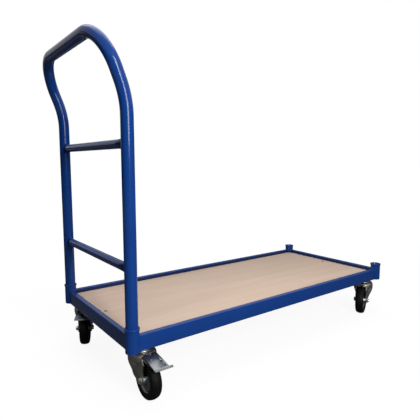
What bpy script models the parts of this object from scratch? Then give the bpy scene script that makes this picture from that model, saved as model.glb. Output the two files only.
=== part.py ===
"""Platform cart: a welded tube frame with a sunk board deck, a bent push handle that plugs into
two corner sockets, and four swivel castors, the two under the handle with foot brakes.

Metres, +Z up. The origin is the middle of the deck's top face, +X runs from the handle end to the
free end, and +Y to the far side.
"""
import math

import bmesh
import bpy
from mathutils import Matrix, Vector

# Frame
FRAME_LENGTH = 1.040
FRAME_WIDTH = 0.455
RAIL_WIDTH = 0.015
RAIL_HEIGHT = 0.040
RAIL_EDGE_RADIUS = 0.002
DECK_SINK = 0.012
DECK_THICKNESS = 0.012
DECK_EDGE_GAP = 0.0008
SEAT_GAP = 0.0003

# Corner sockets
POST_INSET = 0.0085
SOCKET_WALL = 0.0015
SOCKET_STAND = 0.020
SOCKET_FLOOR = 0.003
SOCKET_DRAIN_RADIUS = 0.004
COLLAR_HEIGHT = 0.006
COLLAR_LIP = 0.0016
COLLAR_CHAMFER = 0.0012
SOCKET_SIDES = 20

# Deck supports and corner plates
BEARER_COUNT = 3
BEARER_SPACING = 0.290
BEARER_WIDTH = 0.040
BEARER_SHEET = 0.0025
BEARER_DEPTH = 0.015
LEDGE_SIDE = 0.018
LEDGE_SHEET = 0.0025
LEDGE_END_CLEARANCE = 0.022
GUSSET_THICKNESS = 0.004
GUSSET_LENGTH = 0.085
GUSSET_WIDTH = 0.075

# Push handle
HANDLE_TUBE_RADIUS = 0.015
LEG_CLEARANCE = 0.0005
HANDLE_BEND_HEIGHT = 0.547
HANDLE_BEND_RADIUS = 0.215
HANDLE_TILT_DEG = 20.75
HANDLE_TILT_RUN = 0.0235
HANDLE_CORNER_RADIUS = 0.096
TILT_STEPS = 5
CORNER_STEPS = 8
RUNG_RADIUS = 0.011
RUNG_HEIGHTS = (0.200, 0.487)
RUNG_END_HEIGHT = 0.028
RUNG_END_THICKNESS = 0.014
RUNG_FLAT_LENGTH = 0.030
RUNG_SIDES = 12
PLUG_BORE_RADIUS = 0.0125
PLUG_DEPTH = 0.025
PLUG_FLANGE = 0.0025
PLUG_RIB = 0.0006
PLUG_RIB_COUNT = 2
PLUG_SIDES = 10

# Castors
CASTOR_HEIGHT = 0.124
CASTOR_INSET_X = 0.046
CASTOR_INSET_Y = 0.0335
CASTOR_TRAIL = 0.031
WHEEL_RADIUS = 0.050
TYRE_WIDTH = 0.027
TYRE_DEPTH = 0.013
TREAD_CROWN = 0.004
RIM_LIP = 0.002
RIM_WEB = 0.003
HUB_RADIUS = 0.011
HUB_LENGTH = 0.0344
BUSH_RADIUS = 0.0078
AXLE_RADIUS = 0.004
AXLE_HEAD_RADIUS = 0.0075
AXLE_HEAD_HEIGHT = 0.0055
AXLE_NUT_HEIGHT = 0.0065
AXLE_THREAD_STAND = 0.0015
RACE_RADIUS = 0.033
RACE_HEIGHT = 0.009
FORK_HEAD_RADIUS = 0.037
FORK_SHEET = 0.0025
FORK_LEG_GAP = 0.035
FORK_SHOULDER_DEPTH = 0.0165
FORK_FLANK_DEPTH = 0.025
FORK_TAPER_DEPTH = 0.070
FORK_FLANK_X = 0.010
FORK_WAIST_X = 0.040
FORK_CHEEK_X = 0.0455
FORK_CHEEK_DEPTH = 0.0215
FORK_FRONT_DEPTH = 0.048
FORK_BOSS_RADIUS = 0.012
KINGPIN_RADIUS = 0.006
KINGPIN_HEAD_RADIUS = 0.0105
KINGPIN_HEAD_HEIGHT = 0.0075
KINGPIN_NUT_HEIGHT = 0.006
BORE_CLEARANCE = 0.0003
WHEEL_STEPS = 24
RACE_STEPS = 13
PLAN_STEPS = 7
TAPER_STEPS = 3

# Brake pedals
PEDAL_PIVOT_X = 0.022
PEDAL_PIVOT_DROP = 0.0205
PEDAL_PIN_RADIUS = 0.0028
PEDAL_EYE_RADIUS = 0.0062
PEDAL_SHEET = 0.0022
PEDAL_WIDTH = 0.0344
PEDAL_PLATE_WIDTH = 0.038
PEDAL_START_X = 0.0390
PEDAL_END_X = 0.108
PEDAL_START_DROP = 0.0080
PEDAL_END_DROP = 0.0098
PEDAL_SKIRT = 0.008
PEDAL_TREAD_WIDTH = 0.064
PEDAL_TREAD_LENGTH = 0.007
PEDAL_TREAD_RISE = 0.0015
PEDAL_TREAD_STEP = 0.15

# Swivel headings at rest, degrees round +Z from +X, by corner
HEADINGS_DEG = {"handle_near": -91.0, "handle_far": -116.0, "free_near": -157.0, "free_far": -163.0}

# Worked out sizes
HALF_LENGTH = FRAME_LENGTH / 2
HALF_WIDTH = FRAME_WIDTH / 2
RAIL_TOP = DECK_SINK
RAIL_BOTTOM = DECK_SINK - RAIL_HEIGHT
INNER_X = HALF_LENGTH - RAIL_WIDTH
INNER_Y = HALF_WIDTH - RAIL_WIDTH
POST_X = HALF_LENGTH - POST_INSET
POST_Y = HALF_WIDTH - POST_INSET
SOCKET_BORE = HANDLE_TUBE_RADIUS + LEG_CLEARANCE
SOCKET_RADIUS = SOCKET_BORE + SOCKET_WALL
COLLAR_RADIUS = SOCKET_RADIUS + COLLAR_LIP
SOCKET_TOP = RAIL_TOP + SOCKET_STAND
LEG_FOOT = RAIL_BOTTOM + SOCKET_FLOOR + PLUG_FLANGE + 2 * SEAT_GAP
AXLE_Z = WHEEL_RADIUS - CASTOR_HEIGHT
FORK_TOP = -(RACE_HEIGHT + 2 * SEAT_GAP)
LEG_OUTER = FORK_LEG_GAP / 2 + FORK_SHEET
CASTOR_X = HALF_LENGTH - CASTOR_INSET_X
CASTOR_Y = HALF_WIDTH - CASTOR_INSET_Y
CORNERS = {"handle_near": (-1, -1), "handle_far": (-1, 1), "free_near": (1, -1), "free_far": (1, 1)}

parts = None
tools = None
paints = {}


def start_scene():
    global parts, tools
    for item in list(bpy.data.objects):
        bpy.data.objects.remove(item, do_unlink=True)
    parts = bpy.data.collections.new("platform_cart")
    tools = bpy.data.collections.new("cutters")
    for group in (parts, tools):
        bpy.context.scene.collection.children.link(group)


def paint(name, colour, roughness, metallic=0.0):
    material = bpy.data.materials.new(name)
    material.use_nodes = True
    shader = material.node_tree.nodes["Principled BSDF"]
    shader.inputs["Base Color"].default_value = (*colour, 1.0)
    shader.inputs["Roughness"].default_value = roughness
    shader.inputs["Metallic"].default_value = metallic
    material.diffuse_color = (*colour, 1.0)
    paints[name] = material


def mix_paints():
    paint("blue_paint", (0.012, 0.045, 0.215), 0.30)
    paint("beech_board", (0.560, 0.415, 0.300), 0.55)
    paint("zinc_steel", (0.420, 0.430, 0.440), 0.35, 1.0)
    paint("rim_steel", (0.300, 0.310, 0.320), 0.42, 1.0)
    paint("black_rubber", (0.012, 0.012, 0.012), 0.75)
    paint("black_plastic", (0.020, 0.020, 0.022), 0.50)


def add_object(name, data, material=None, location=(0, 0, 0), parent=None):
    item = bpy.data.objects.new(name, data)
    group = parts if material else tools
    group.objects.link(item)
    item.location = location
    if parent:
        item.parent = parent
    if material:
        if not data.materials:
            data.materials.append(paints[material])
    else:
        item.hide_render = True
        item.display_type = "WIRE"
    return item


def shade_round(mesh, angle_deg=35):
    mesh.shade_smooth()
    mesh.set_sharp_from_angle(angle=math.radians(angle_deg))


def mesh_of(item):
    """The object's finished mesh in its own space; the object is removed."""
    bpy.context.view_layer.update()
    depsgraph = bpy.context.evaluated_depsgraph_get()
    mesh = bpy.data.meshes.new_from_object(item.evaluated_get(depsgraph))
    mesh.name = item.name
    bpy.data.objects.remove(item, do_unlink=True)
    return mesh


def welded(mesh, distance=0.00002):
    shape = bmesh.new()
    shape.from_mesh(mesh)
    bmesh.ops.remove_doubles(shape, verts=shape.verts, dist=distance)
    shape.to_mesh(mesh)
    shape.free()
    return mesh


def block(name, low, high, edge_radius=0.0, along=None):
    """A box between two corners; edges along one axis may be rounded."""
    shape = bmesh.new()
    bmesh.ops.create_cube(shape, size=1.0)
    low, high = Vector(low), Vector(high)
    size = high - low
    bmesh.ops.scale(shape, vec=size, verts=shape.verts)
    bmesh.ops.translate(shape, vec=(low + high) / 2, verts=shape.verts)
    if edge_radius:
        edges = [edge for edge in shape.edges
                 if abs((edge.verts[0].co - edge.verts[1].co)[along]) > size[along] / 2]
        bmesh.ops.bevel(shape, geom=edges, offset=edge_radius, segments=2, profile=0.5,
                        affect="EDGES", clamp_overlap=True)
    mesh = bpy.data.meshes.new(name)
    shape.to_mesh(mesh)
    shape.free()
    return mesh


def rod(name, radius, start, end, sides=24):
    """A round or many sided bar from one point to another."""
    start, end = Vector(start), Vector(end)
    run = end - start
    shape = bmesh.new()
    bmesh.ops.create_cone(shape, cap_ends=True, segments=sides, radius1=radius, radius2=radius,
                          depth=run.length)
    turn = Vector((0, 0, 1)).rotation_difference(run.normalized()).to_matrix().to_4x4()
    bmesh.ops.transform(shape, matrix=Matrix.Translation((start + end) / 2) @ turn,
                        verts=shape.verts)
    mesh = bpy.data.meshes.new(name)
    shape.to_mesh(mesh)
    shape.free()
    return mesh


def turned(name, profile, steps, closed=True):
    """A ring or cup turned round Z from (radius, height) points, outer side top to bottom."""
    mesh = bpy.data.meshes.new(name + "_profile")
    points = [(radius, 0.0, height) for radius, height in profile]
    count = len(points)
    edges = [(i, i + 1) for i in range(count - 1)]
    if closed:
        edges.append((count - 1, 0))
    mesh.from_pydata(points, edges, [])
    item = add_object(name, mesh)
    screw = item.modifiers.new("turn", "SCREW")
    screw.steps = steps
    screw.render_steps = steps
    screw.use_merge_vertices = True
    screw.merge_threshold = 0.00001
    result = mesh_of(item)
    shade_round(result)
    return result


def plate_outline(name, points, thickness):
    """A flat closed outline in XY, thickened both ways along Z."""
    curve = bpy.data.curves.new(name, "CURVE")
    curve.dimensions = "2D"
    curve.fill_mode = "BOTH"
    curve.extrude = thickness / 2
    line = curve.splines.new("POLY")
    line.points.add(len(points) - 1)
    for point, (x, y) in zip(line.points, points):
        point.co = (x, y, 0.0, 1.0)
    line.use_cyclic_u = True
    return welded(mesh_of(add_object(name, curve)))


def turned_to(mesh, matrix):
    mesh.transform(matrix)
    return mesh


def boolean(item, cutter_mesh, operation="DIFFERENCE"):
    """Hold a cutter beside the object, in the same place, and apply it live."""
    cutter = add_object(item.name + "_cutter", cutter_mesh)
    cutter.matrix_world = item.matrix_world
    modifier = item.modifiers.new(operation.lower(), "BOOLEAN")
    modifier.operation = operation
    modifier.object = cutter
    return cutter


def carved(name, mesh, steps):
    """A mesh after a list of (operation, cutter mesh); the cutters are removed again."""
    item = add_object(name, mesh)
    cutters = [boolean(item, cutter, operation) for operation, cutter in steps]
    result = mesh_of(item)
    for cutter in cutters:
        bpy.data.objects.remove(cutter, do_unlink=True)
    return result


def arc(centre, radius, start_deg, end_deg, steps):
    points = []
    for i in range(steps + 1):
        angle = math.radians(start_deg + (end_deg - start_deg) * i / steps)
        points.append((centre[0] + radius * math.cos(angle), centre[1] + radius * math.sin(angle)))
    return points


def socket_cutter(sign_x, sign_y, radius):
    x, y = sign_x * POST_X, sign_y * POST_Y
    reach = RAIL_HEIGHT
    return rod("cope", radius, (x, y, RAIL_BOTTOM - reach), (x, y, SOCKET_TOP + reach), 32)


def add_rails():
    radius = SOCKET_RADIUS + SEAT_GAP
    for name, side in (("near_side_rail", -1), ("far_side_rail", 1)):
        edges = sorted((side * INNER_Y, side * HALF_WIDTH))
        mesh = block(name, (-POST_X, edges[0], RAIL_BOTTOM), (POST_X, edges[1], RAIL_TOP),
                     RAIL_EDGE_RADIUS, 0)
        rail = add_object(name, mesh, "blue_paint")
        for end in (-1, 1):
            boolean(rail, socket_cutter(end, side, radius))
    for name, end in (("handle_end_rail", -1), ("free_end_rail", 1)):
        edges = sorted((end * INNER_X, end * HALF_LENGTH))
        mesh = block(name, (edges[0], -POST_Y, RAIL_BOTTOM), (edges[1], POST_Y, RAIL_TOP),
                     RAIL_EDGE_RADIUS, 1)
        rail = add_object(name, mesh, "blue_paint")
        for side in (-1, 1):
            boolean(rail, socket_cutter(end, side, radius))


def add_sockets():
    floor_top = RAIL_BOTTOM + SOCKET_FLOOR
    collar_bottom = SOCKET_TOP - COLLAR_HEIGHT
    profile = [
        (SOCKET_DRAIN_RADIUS, floor_top),
        (SOCKET_BORE, floor_top),
        (SOCKET_BORE, SOCKET_TOP),
        (COLLAR_RADIUS - COLLAR_CHAMFER, SOCKET_TOP),
        (COLLAR_RADIUS, SOCKET_TOP - COLLAR_CHAMFER),
        (COLLAR_RADIUS, collar_bottom + COLLAR_CHAMFER),
        (SOCKET_RADIUS, collar_bottom),
        (SOCKET_RADIUS, RAIL_BOTTOM),
        (SOCKET_DRAIN_RADIUS, RAIL_BOTTOM),
    ]
    mesh = turned("corner_socket", profile, SOCKET_SIDES)
    for corner, (sign_x, sign_y) in CORNERS.items():
        add_object(corner + "_socket", mesh, "blue_paint", (sign_x * POST_X, sign_y * POST_Y, 0))


def add_deck():
    x, y = INNER_X - DECK_EDGE_GAP, INNER_Y - DECK_EDGE_GAP
    deck = add_object("deck_panel", block("deck_panel", (-x, -y, -DECK_THICKNESS), (x, y, 0)),
                      "beech_board")
    for sign_x, sign_y in CORNERS.values():
        boolean(deck, socket_cutter(sign_x, sign_y, SOCKET_RADIUS + DECK_EDGE_GAP))


def add_deck_supports():
    top = -DECK_THICKNESS - SEAT_GAP
    half = BEARER_WIDTH / 2
    sheet = BEARER_SHEET
    channel = [(-half, -BEARER_DEPTH), (-half, 0), (half, 0), (half, -BEARER_DEPTH),
               (half - sheet, -BEARER_DEPTH), (half - sheet, -sheet),
               (sheet - half, -sheet), (sheet - half, -BEARER_DEPTH)]
    to_side = Matrix.Rotation(math.pi / 2, 4, "X")
    span = 2 * (INNER_Y - SEAT_GAP)
    mesh = turned_to(plate_outline("deck_bearer", channel, span), to_side)
    names = ("handle_end_bearer", "middle_bearer", "free_end_bearer")
    for i, name in enumerate(names[:BEARER_COUNT]):
        x = (i - (BEARER_COUNT - 1) / 2) * BEARER_SPACING
        add_object(name, mesh, "blue_paint", (x, 0, top))
    side, sheet = LEDGE_SIDE, LEDGE_SHEET
    drop = top - (RAIL_BOTTOM + GUSSET_THICKNESS + SEAT_GAP)
    angle = [(0, 0), (side, 0), (side, -sheet), (sheet, -sheet), (sheet, -drop), (0, -drop)]
    length = 2 * (POST_Y - LEDGE_END_CLEARANCE)
    for name, end in (("handle_end_ledge", -1), ("free_end_ledge", 1)):
        points = [(-end * x, z) for x, z in angle]
        ledge = turned_to(plate_outline(name, points, length), to_side)
        add_object(name, ledge, "blue_paint", (end * (INNER_X - SEAT_GAP), 0, top))


def add_gussets():
    for corner, (sign_x, sign_y) in CORNERS.items():
        x_edges = sorted((sign_x * (INNER_X - SEAT_GAP), sign_x * (INNER_X - GUSSET_LENGTH)))
        y_edges = sorted((sign_y * (INNER_Y - SEAT_GAP), sign_y * (INNER_Y - GUSSET_WIDTH)))
        name = corner + "_corner_plate"
        mesh = block(name, (x_edges[0], y_edges[0], RAIL_BOTTOM),
                     (x_edges[1], y_edges[1], RAIL_BOTTOM + GUSSET_THICKNESS))
        plate = add_object(name, mesh, "blue_paint")
        boolean(plate, socket_cutter(sign_x, sign_y, SOCKET_RADIUS + SEAT_GAP))
        x, y = sign_x * CASTOR_X, sign_y * CASTOR_Y
        reach = GUSSET_THICKNESS
        boolean(plate, rod("bolt_hole", KINGPIN_RADIUS + BORE_CLEARANCE,
                           (x, y, RAIL_BOTTOM - reach), (x, y, RAIL_BOTTOM + 2 * reach)))


def handle_path():
    """The bow's centre line: up the near leg, over the grip and down the far leg."""
    tilt = math.radians(HANDLE_TILT_DEG)
    lean = Vector((-math.sin(tilt), 0, math.cos(tilt)))
    bend_z = RAIL_BOTTOM + HANDLE_BEND_HEIGHT
    side = [Vector((-POST_X, -POST_Y, LEG_FOOT))]
    for i in range(TILT_STEPS + 1):
        angle = tilt * i / TILT_STEPS
        side.append(Vector((-POST_X - HANDLE_BEND_RADIUS * (1 - math.cos(angle)), -POST_Y,
                            bend_z + HANDLE_BEND_RADIUS * math.sin(angle))))
    corner = side[-1] + lean * HANDLE_TILT_RUN
    for i in range(CORNER_STEPS + 1):
        angle = math.pi / 2 * i / CORNER_STEPS
        across = Vector((0, HANDLE_CORNER_RADIUS * (1 - math.cos(angle)), 0))
        side.append(corner + lean * HANDLE_CORNER_RADIUS * math.sin(angle) + across)
    far = [Vector((point.x, -point.y, point.z)) for point in reversed(side)]
    return side + far


def add_handle():
    curve = bpy.data.curves.new("handle_bow", "CURVE")
    curve.dimensions = "3D"
    curve.bevel_depth = HANDLE_TUBE_RADIUS
    curve.bevel_resolution = 3
    curve.use_fill_caps = True
    path = handle_path()
    line = curve.splines.new("POLY")
    line.points.add(len(path) - 1)
    for point, place in zip(line.points, path):
        point.co = (*place, 1.0)
    mesh = welded(mesh_of(add_object("handle_bow", curve)))
    shade_round(mesh)
    bow = add_object("handle_bow", mesh, "blue_paint")
    for side in (-1, 1):
        x, y = -POST_X, side * POST_Y
        boolean(bow, rod("plug_bore", PLUG_BORE_RADIUS, (x, y, LEG_FOOT - PLUG_DEPTH),
                         (x, y, LEG_FOOT + PLUG_DEPTH + SEAT_GAP)))


def add_leg_plugs():
    top = LEG_FOOT + PLUG_DEPTH
    shank = PLUG_BORE_RADIUS - SEAT_GAP
    core = shank - PLUG_RIB
    rib = PLUG_DEPTH / (2 * PLUG_RIB_COUNT + 1)
    profile = [(0.0, top), (core, top)]
    for i in range(PLUG_RIB_COUNT):
        ring = top - (2 * i + 1) * rib
        profile += [(core, ring), (shank, ring - rib * 0.3), (shank, ring - rib * 0.7),
                    (core, ring - rib)]
    seat = LEG_FOOT - SEAT_GAP
    profile += [(core, seat), (HANDLE_TUBE_RADIUS, seat), (HANDLE_TUBE_RADIUS, seat - PLUG_FLANGE),
                (0.0, seat - PLUG_FLANGE)]
    mesh = turned("leg_plug", profile, PLUG_SIDES, closed=False)
    for name, side in (("near_leg_plug", -1), ("far_leg_plug", 1)):
        add_object(name, mesh, "black_plastic", (-POST_X, side * POST_Y, 0))


def rung_mesh():
    """A round tube along Y whose ends are pressed into upright flats."""
    shape = bmesh.new()
    bmesh.ops.create_cone(shape, cap_ends=True, segments=RUNG_SIDES, radius1=RUNG_RADIUS,
                          radius2=RUNG_RADIUS, depth=2 * POST_Y)
    bmesh.ops.rotate(shape, matrix=Matrix.Rotation(-math.pi / 2, 3, "X"), verts=shape.verts)
    wall = POST_Y - HANDLE_TUBE_RADIUS
    for share in (0.0, 0.25, 0.5, 0.75, 1.0):
        for side in (-1, 1):
            y = side * (wall - RUNG_FLAT_LENGTH * share)
            bmesh.ops.bisect_plane(shape, geom=shape.verts[:] + shape.edges[:] + shape.faces[:],
                                   plane_co=(0, y, 0), plane_no=(0, 1, 0))
    for vert in shape.verts:
        share = (abs(vert.co.y) - wall + RUNG_FLAT_LENGTH) / RUNG_FLAT_LENGTH
        share = min(max(share, 0.0), 1.0)
        blend = share * share * (3 - 2 * share)
        vert.co.x *= 1 + blend * (RUNG_END_THICKNESS / (2 * RUNG_RADIUS) - 1)
        vert.co.z *= 1 + blend * (RUNG_END_HEIGHT / (2 * RUNG_RADIUS) - 1)
    mesh = bpy.data.meshes.new("rung")
    shape.to_mesh(mesh)
    shape.free()
    shade_round(mesh)
    return mesh


def add_rungs():
    mesh = rung_mesh()
    reach = RUNG_END_HEIGHT
    cope = HANDLE_TUBE_RADIUS + SEAT_GAP
    steps = [("DIFFERENCE", rod("cope", cope, (0, side * POST_Y, -reach), (0, side * POST_Y, reach)))
             for side in (-1, 1)]
    coped = carved("rung", mesh, steps)
    for name, height in zip(("lower_rung", "upper_rung"), RUNG_HEIGHTS):
        add_object(name, coped, "blue_paint", (-POST_X, 0, RAIL_BOTTOM + height))


def fork_body(inset):
    """The fork's outer shape, or with an inset its hollow, as stacked rings.

    The upper two rings are round behind as well; in the others flanks step in to the flat legs.
    """
    head = FORK_HEAD_RADIUS - inset
    leg = LEG_OUTER - inset
    back = CASTOR_TRAIL + FORK_HEAD_RADIUS + inset
    drawn = FORK_TAPER_DEPTH - FORK_SHOULDER_DEPTH
    depths = [inset, FORK_SHOULDER_DEPTH - inset * 0.6, FORK_FLANK_DEPTH - inset * 0.6]
    depths += [FORK_SHOULDER_DEPTH + drawn * i / TAPER_STEPS for i in range(2, TAPER_STEPS + 1)]
    depths.append(CASTOR_HEIGHT)
    shape = bmesh.new()
    rings = []
    for i, depth in enumerate(depths):
        share = min(max((depth - FORK_SHOULDER_DEPTH) / drawn, 0.0), 1.0)
        half = head + (leg - head) * share * share * (3 - 2 * share)
        flank = [(FORK_FLANK_X - inset + 0.008 * j, leg) for j in range(3)]
        if i < 2:
            flank = arc((0, 0), head, 72, 54, 1) + [(math.sqrt(head ** 2 - leg ** 2), leg)]
        plan = [(x, -y) for x, y in flank] + [(back, -leg), (back, leg)] + flank[::-1]
        plan += [(x, y * half / head) for x, y in arc((0, 0), head, 90, 270, PLAN_STEPS)]
        rings.append([shape.verts.new((x, y, FORK_TOP - depth)) for x, y in plan])
    for upper, lower in zip(rings, rings[1:]):
        for i in range(len(upper)):
            shape.faces.new((upper[i - 1], upper[i], lower[i], lower[i - 1]))
    shape.faces.new(rings[0])
    shape.faces.new(rings[-1])
    bmesh.ops.recalc_face_normals(shape, faces=shape.faces)
    front = [face for face in shape.faces if abs(face.normal.x) > 0.01 and len(face.verts) == 4]
    bmesh.ops.triangulate(shape, faces=front)
    mesh = bpy.data.meshes.new("fork_body")
    shape.to_mesh(mesh)
    shape.free()
    return mesh


def fork_mesh():
    front = -FORK_HEAD_RADIUS * 1.1
    knee = FORK_TOP - FORK_FRONT_DEPTH
    boss = (CASTOR_TRAIL, AXLE_Z)
    outline = [(front, 0), (front, knee), (-FORK_HEAD_RADIUS * 0.62, knee + (AXLE_Z - knee) * 0.66)]
    outline += [(0, AXLE_Z - FORK_BOSS_RADIUS * 0.40)]
    outline += arc(boss, FORK_BOSS_RADIUS, 250, 370, 8)
    outline += [(FORK_WAIST_X, AXLE_Z + FORK_BOSS_RADIUS), (FORK_WAIST_X, knee + FORK_BOSS_RADIUS),
                (FORK_CHEEK_X, FORK_TOP - FORK_CHEEK_DEPTH), (FORK_HEAD_RADIUS, FORK_TOP * 2.2),
                (FORK_HEAD_RADIUS, 0)]
    side = turned_to(plate_outline("side", outline, 4 * FORK_HEAD_RADIUS),
                     Matrix.Rotation(math.pi / 2, 4, "X"))
    reach = 4 * FORK_HEAD_RADIUS
    steps = [
        ("DIFFERENCE", fork_body(FORK_SHEET)),
        ("INTERSECT", side),
        ("DIFFERENCE", rod("pin_hole", KINGPIN_RADIUS + BORE_CLEARANCE, (0, 0, -reach), (0, 0, reach))),
        ("DIFFERENCE", rod("axle_hole", AXLE_RADIUS + BORE_CLEARANCE,
                           (CASTOR_TRAIL, -reach, AXLE_Z), (CASTOR_TRAIL, reach, AXLE_Z), 16)),
    ]
    mesh = carved("fork", fork_body(0), steps)
    shade_round(mesh, 30)
    return mesh


def race_mesh():
    """The two pressed ball-race rings above the fork, as one turned piece with a waist."""
    top = -SEAT_GAP
    bottom = top - RACE_HEIGHT
    hole = KINGPIN_RADIUS + BORE_CLEARANCE
    waist = RACE_RADIUS * 0.80
    profile = [
        (hole, top), (RACE_RADIUS * 0.9, top), (RACE_RADIUS, top - RACE_HEIGHT * 0.15),
        (RACE_RADIUS, top - RACE_HEIGHT * 0.42), (waist, top - RACE_HEIGHT * 0.55),
        (waist, top - RACE_HEIGHT * 0.72), (RACE_RADIUS * 0.93, top - RACE_HEIGHT * 0.82),
        (RACE_RADIUS * 0.93, bottom), (hole, bottom),
    ]
    return turned("race", profile, RACE_STEPS)


def kingpin_mesh():
    head_seat = GUSSET_THICKNESS + SEAT_GAP
    nut_seat = FORK_TOP - FORK_SHEET - SEAT_GAP
    head = rod("kingpin", KINGPIN_HEAD_RADIUS, (0, 0, head_seat),
               (0, 0, head_seat + KINGPIN_HEAD_HEIGHT), 6)
    shank = rod("shank", KINGPIN_RADIUS, (0, 0, nut_seat - KINGPIN_NUT_HEIGHT * 1.2),
                (0, 0, head_seat + KINGPIN_HEAD_HEIGHT / 2), 16)
    nut = rod("nut", KINGPIN_HEAD_RADIUS, (0, 0, nut_seat - KINGPIN_NUT_HEIGHT),
              (0, 0, nut_seat), 6)
    return carved("kingpin", head, [("UNION", shank), ("UNION", nut)])


def wheel_turn(mesh):
    """From a turning axis along Z to the axle's line, across the trail."""
    return turned_to(mesh, Matrix.Rotation(math.pi / 2, 4, "X"))


def tyre_mesh():
    half = TYRE_WIDTH / 2
    seat = WHEEL_RADIUS - TYRE_DEPTH
    crown = [(WHEEL_RADIUS - TREAD_CROWN * (share ** 2) * 0.5, -share * half * 0.72)
             for share in (-1.0, -0.5, 0.0, 0.5, 1.0)]
    profile = [(seat, half * 0.80), (WHEEL_RADIUS - TYRE_DEPTH * 0.65, half)]
    profile += [(WHEEL_RADIUS - TREAD_CROWN * 1.1, half)]
    profile += crown
    profile += [(WHEEL_RADIUS - TREAD_CROWN * 1.1, -half)]
    profile += [(WHEEL_RADIUS - TYRE_DEPTH * 0.65, -half), (seat, -half * 0.80)]
    return wheel_turn(turned("tyre", profile, WHEEL_STEPS))


def rim_mesh():
    """Pressed disc rim: a flanged drum under the tyre, a dished web and the hub tube."""
    half = TYRE_WIDTH / 2
    edge = WHEEL_RADIUS - TYRE_DEPTH - SEAT_GAP
    drum = edge - RIM_LIP
    hub = HUB_LENGTH / 2
    bore = BUSH_RADIUS + BORE_CLEARANCE
    web = RIM_WEB
    profile = [
        (bore, hub), (HUB_RADIUS, hub), (HUB_RADIUS, half * 0.55), (HUB_RADIUS * 1.5, half * 0.35),
        (drum - web, half * 0.30), (drum, half * 0.62), (edge, half * 0.78),
        (edge, -half * 0.78), (drum, -half * 0.62), (drum - web, -half * 0.30),
        (HUB_RADIUS * 1.5, -half * 0.35), (HUB_RADIUS, -half * 0.55), (HUB_RADIUS, -hub),
        (bore, -hub),
    ]
    return wheel_turn(turned("rim", profile, WHEEL_STEPS))


def bush_mesh():
    hub = HUB_LENGTH / 2
    inner = AXLE_RADIUS + BORE_CLEARANCE
    profile = [(inner, hub), (BUSH_RADIUS, hub), (BUSH_RADIUS, -hub), (inner, -hub)]
    return wheel_turn(turned("bush", profile, 12))


def axle_bolt_mesh():
    seat = LEG_OUTER + SEAT_GAP
    head = rod("axle_bolt", AXLE_HEAD_RADIUS, (0, -seat - AXLE_HEAD_HEIGHT, 0), (0, -seat, 0), 6)
    end = seat + AXLE_NUT_HEIGHT + AXLE_THREAD_STAND
    shank = rod("shank", AXLE_RADIUS, (0, -seat - AXLE_HEAD_HEIGHT / 2, 0), (0, end, 0), 12)
    return carved("axle_bolt", head, [("UNION", shank)])


def axle_nut_mesh():
    seat = LEG_OUTER + SEAT_GAP
    nut = rod("axle_nut", AXLE_HEAD_RADIUS, (0, seat, 0), (0, seat + AXLE_NUT_HEIGHT, 0), 6)
    bore = rod("nut_bore", AXLE_RADIUS + BORE_CLEARANCE, (0, 0, 0), (0, 3 * seat, 0), 12)
    return carved("axle_nut", nut, [("DIFFERENCE", bore)])


def pedal_mesh():
    """A flat channel behind the fork's head, on two arms that turn on a pin inside the fork, with a
    wider turned up tread at its end.

    Its own origin is the pivot pin's middle.
    """
    along = Vector((PEDAL_END_X - PEDAL_START_X, PEDAL_START_DROP - PEDAL_END_DROP)).normalized()
    down = Vector((along.y, -along.x))
    start = Vector((PEDAL_START_X - PEDAL_PIVOT_X, PEDAL_PIVOT_DROP - PEDAL_START_DROP))
    end = Vector((PEDAL_END_X - PEDAL_PIVOT_X, PEDAL_PIVOT_DROP - PEDAL_END_DROP))
    sheet = PEDAL_SHEET
    stand = Matrix.Rotation(math.pi / 2, 4, "X")

    def slab(name, points, width):
        return turned_to(plate_outline(name, [tuple(point) for point in points], width), stand)

    outer = [start, end, end + down * PEDAL_SKIRT * 0.5, end + down * PEDAL_SKIRT - along * 0.020]
    outer += [start + down * PEDAL_SKIRT * 1.6 + along * 0.012]
    outer += [Vector(point) for point in arc((0, 0), PEDAL_EYE_RADIUS, -70, -270, 6)]
    outer += [Vector((start.x - sheet, PEDAL_EYE_RADIUS))]
    reach = along * PEDAL_END_X
    hollow = [start + down * sheet - reach, end + down * sheet + reach,
              end + down * 5 * PEDAL_SKIRT + reach, start + down * 5 * PEDAL_SKIRT - reach]
    rise = Vector((0, PEDAL_TREAD_RISE))
    root = end - along * 2 * sheet + down * sheet * PEDAL_TREAD_STEP
    bend = root + along * sheet
    tip = bend + along * (PEDAL_TREAD_LENGTH + sheet) + rise
    tread = [root, bend, tip, tip + down * sheet, bend + down * sheet, root + down * sheet]
    pin_half = 0.6 * FORK_HEAD_RADIUS
    pin = rod("pin", PEDAL_PIN_RADIUS, (0, -pin_half, 0), (0, pin_half, 0), 12)
    inner = start + along * sheet
    plate = [inner, end - along * sheet / 2, end + down * sheet * 0.6 - along * sheet / 2,
             inner + down * sheet * 0.6]
    mesh = carved("pedal", slab("pedal", outer, PEDAL_WIDTH), [
        ("DIFFERENCE", slab("hollow", hollow, PEDAL_WIDTH - 2 * sheet)),
        ("UNION", slab("plate", plate, PEDAL_PLATE_WIDTH)),
        ("UNION", slab("tread", tread, PEDAL_TREAD_WIDTH)),
        ("UNION", pin),
    ])
    return mesh


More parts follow.
